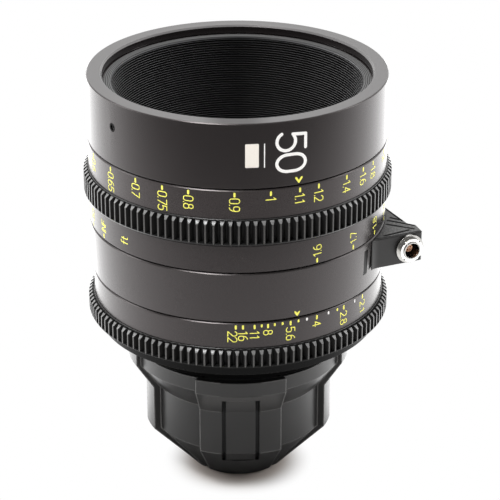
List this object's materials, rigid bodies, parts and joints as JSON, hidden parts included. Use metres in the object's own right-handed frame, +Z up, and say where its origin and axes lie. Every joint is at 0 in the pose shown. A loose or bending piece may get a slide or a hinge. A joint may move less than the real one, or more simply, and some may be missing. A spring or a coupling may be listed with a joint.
{
  "type": "cinema prime lens",
  "caption": "Manual cinema prime lens with geared focus and iris rings, bladed iris, side data socket and a rear cap over its mount.",
  "frame": {"origin": "on the optical axis, at the flat base of the rear cap that the lens stands on", "axes": "+Z up along the optical axis towards the front; -Y the side with the focal length number; +X towards the data socket"},
  "size_m": [0.1082, 0.0984, 0.1385],
  "materials": {
    "barrel_black": "satin black anodised",
    "ring_black": "satin black anodised",
    "gear_black": "satin black anodised, cut teeth",
    "housing_black": "bead blasted, black anodised",
    "baffle_black": "matt black anodised",
    "rear_gloss": "glossy black",
    "cell_black": "matt black anodised",
    "sleeve_aluminium": "fine turned",
    "plate_aluminium": "fine turned",
    "blade": "thin, dry black coated steel",
    "helicoid_brass": "turned",
    "key_steel": "ground",
    "screw_steel": "plain",
    "screw_black": "blackened steel",
    "mount_steel": "turned stainless steel",
    "shim": "thin rolled steel",
    "socket_metal": "satin chrome",
    "socket_insert": "tan moulded",
    "contact": "gilt",
    "board": "circuit board",
    "washer_plastic": "slippery plastic",
    "badge": "satin, left plain",
    "inlay": "dark, left plain",
    "glass": "coated",
    "cap_plastic": "smooth moulded black"
  },
  "bodies": {
    "barrel": {"front_shell": "barrel_black", "front_grub_screws": "screw_black", "badge_plate": "badge", "light_baffle": "baffle_black", "inner_sleeve": "sleeve_aluminium", "thrust_washers": "washer_plastic", "mid_shell": "barrel_black", "inlay_strip": "inlay", "connector_housing": "housing_black", "housing_cover": "housing_black", "housing_screws": "screw_black", "socket_shell": "socket_metal", "socket_nut": "socket_metal", "socket_insulator": "socket_insert", "socket_pins": "contact", "socket_board": "board", "guide_keys": "key_steel", "iris_housing": "cell_black", "iris_housing_screws": "screw_steel", "iris_base_plate": "plate_aluminium", "base_plate_screws": "screw_steel", "cam_stop_ring": "cell_black", "rear_barrel": "rear_gloss", "rear_grub_screws": "screw_black", "rear_cell": "cell_black", "rear_cell_screws": "screw_steel", "rear_glass_front": "glass", "rear_glass_back": "glass", "rear_front_ring": "cell_black", "rear_back_ring": "cell_black", "lens_mount": "mount_steel", "mount_shim": "shim", "mount_screws": "screw_steel"},
    "focus_ring": {"focus_ring": "ring_black", "focus_gear": "gear_black", "focus_scale_band": "ring_black", "helicoid_ring": "helicoid_brass", "focus_key": "key_steel"},
    "focus_cell": {"focus_cell": "cell_black", "focus_glass_front": "glass", "focus_glass_rear": "glass", "focus_glass_spacer": "cell_black", "focus_retaining_ring": "cell_black"},
    "iris_ring": {"iris_ring": "ring_black", "iris_gear": "gear_black", "iris_drive_screw": "screw_steel", "iris_cam_ring": "plate_aluminium"},
    "rear_cap": {"rear_cap": "cap_plastic"},
    "blade_1": {"iris_blade_1": "blade"},
    "blade_2": {"iris_blade_2": "blade"},
    "blade_3": {"iris_blade_3": "blade"},
    "blade_4": {"iris_blade_4": "blade"},
    "blade_5": {"iris_blade_5": "blade"},
    "blade_6": {"iris_blade_6": "blade"},
    "blade_7": {"iris_blade_7": "blade"},
    "blade_8": {"iris_blade_8": "blade"}
  },
  "joints": [
    {"name": "focus_turn", "type": "hinge", "parent": "barrel", "child": "focus_ring", "pos_m": [0, 0, 0.1036], "axis": [0, 0, 1], "range_deg": [-112.5, 135]},
    {"name": "focus_travel", "type": "slide", "parent": "barrel", "child": "focus_cell", "axis": [0, 0, 1], "range_m": [-0.00251, 0.00301]},
    {"name": "iris_turn", "type": "hinge", "parent": "barrel", "child": "iris_ring", "pos_m": [0, 0, 0.065], "axis": [0, 0, 1], "range_deg": [-34.5, 23.5]},
    {"name": "blade_turn_1", "type": "hinge", "parent": "barrel", "child": "blade_1", "pos_m": [0.01871, 0.0033, 0.0646], "axis": [0, 0, 1], "range_deg": [-21.5, 14.7]},
    {"name": "blade_turn_2", "type": "hinge", "parent": "barrel", "child": "blade_2", "pos_m": [0.0109, 0.01556, 0.0646], "axis": [0, 0, 1], "range_deg": [-21.5, 14.7]},
    {"name": "blade_turn_3", "type": "hinge", "parent": "barrel", "child": "blade_3", "pos_m": [-0.0033, 0.01871, 0.0646], "axis": [0, 0, 1], "range_deg": [-21.5, 14.7]},
    {"name": "blade_turn_4", "type": "hinge", "parent": "barrel", "child": "blade_4", "pos_m": [-0.01556, 0.0109, 0.0646], "axis": [0, 0, 1], "range_deg": [-21.5, 14.7]},
    {"name": "blade_turn_5", "type": "hinge", "parent": "barrel", "child": "blade_5", "pos_m": [-0.01871, -0.0033, 0.0646], "axis": [0, 0, 1], "range_deg": [-21.5, 14.7]},
    {"name": "blade_turn_6", "type": "hinge", "parent": "barrel", "child": "blade_6", "pos_m": [-0.0109, -0.01556, 0.0646], "axis": [0, 0, 1], "range_deg": [-21.5, 14.7]},
    {"name": "blade_turn_7", "type": "hinge", "parent": "barrel", "child": "blade_7", "pos_m": [0.0033, -0.01871, 0.0646], "axis": [0, 0, 1], "range_deg": [-21.5, 14.7]},
    {"name": "blade_turn_8", "type": "hinge", "parent": "barrel", "child": "blade_8", "pos_m": [0.01556, -0.0109, 0.0646], "axis": [0, 0, 1], "range_deg": [-21.5, 14.7]},
    {"name": "cap_pull", "type": "slide", "parent": "barrel", "child": "rear_cap", "axis": [0, 0, -1], "range_m": [0, 0.05]}
  ],
  "couplings": [
    {"joint": "focus_travel", "follows": "focus_turn", "m_per_rad": 0.0012732},
    {"joint": "blade_turn_1", "follows": "iris_turn", "ratio": 0.62069},
    {"joint": "blade_turn_2", "follows": "iris_turn", "ratio": 0.62069},
    {"joint": "blade_turn_3", "follows": "iris_turn", "ratio": 0.62069},
    {"joint": "blade_turn_4", "follows": "iris_turn", "ratio": 0.62069},
    {"joint": "blade_turn_5", "follows": "iris_turn", "ratio": 0.62069},
    {"joint": "blade_turn_6", "follows": "iris_turn", "ratio": 0.62069},
    {"joint": "blade_turn_7", "follows": "iris_turn", "ratio": 0.62069},
    {"joint": "blade_turn_8", "follows": "iris_turn", "ratio": 0.62069}
  ]
}
